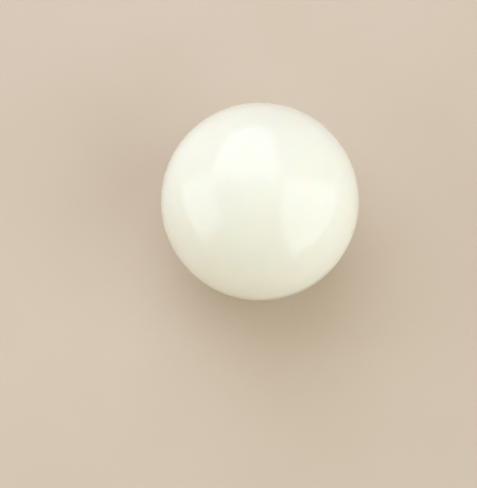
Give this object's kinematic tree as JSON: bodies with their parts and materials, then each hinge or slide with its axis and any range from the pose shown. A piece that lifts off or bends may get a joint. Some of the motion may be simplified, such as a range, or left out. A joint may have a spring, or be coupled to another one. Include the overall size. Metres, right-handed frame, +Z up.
{
  "type": "cue ball",
  "caption": "Plain ivory-white cue ball: a solid, polished sphere of cast resin, struck by the cue tip and rolling on its own surface.",
  "frame": {"origin": "centre of the ball", "axes": "a plain sphere has no directions of its own: +Z is up, with the lowest point on -Z resting on the cloth; +X is right and +Y away from the viewer as the ball is shown"},
  "size_m": [0.0572, 0.0572, 0.0572],
  "materials": {
    "phenolic_resin": "cast phenolic resin, warm ivory white all through, ground round and polished to a soft gloss, with faint handling haze"
  },
  "bodies": {
    "root": {"ball": "phenolic_resin"}
  },
  "joints": []
}
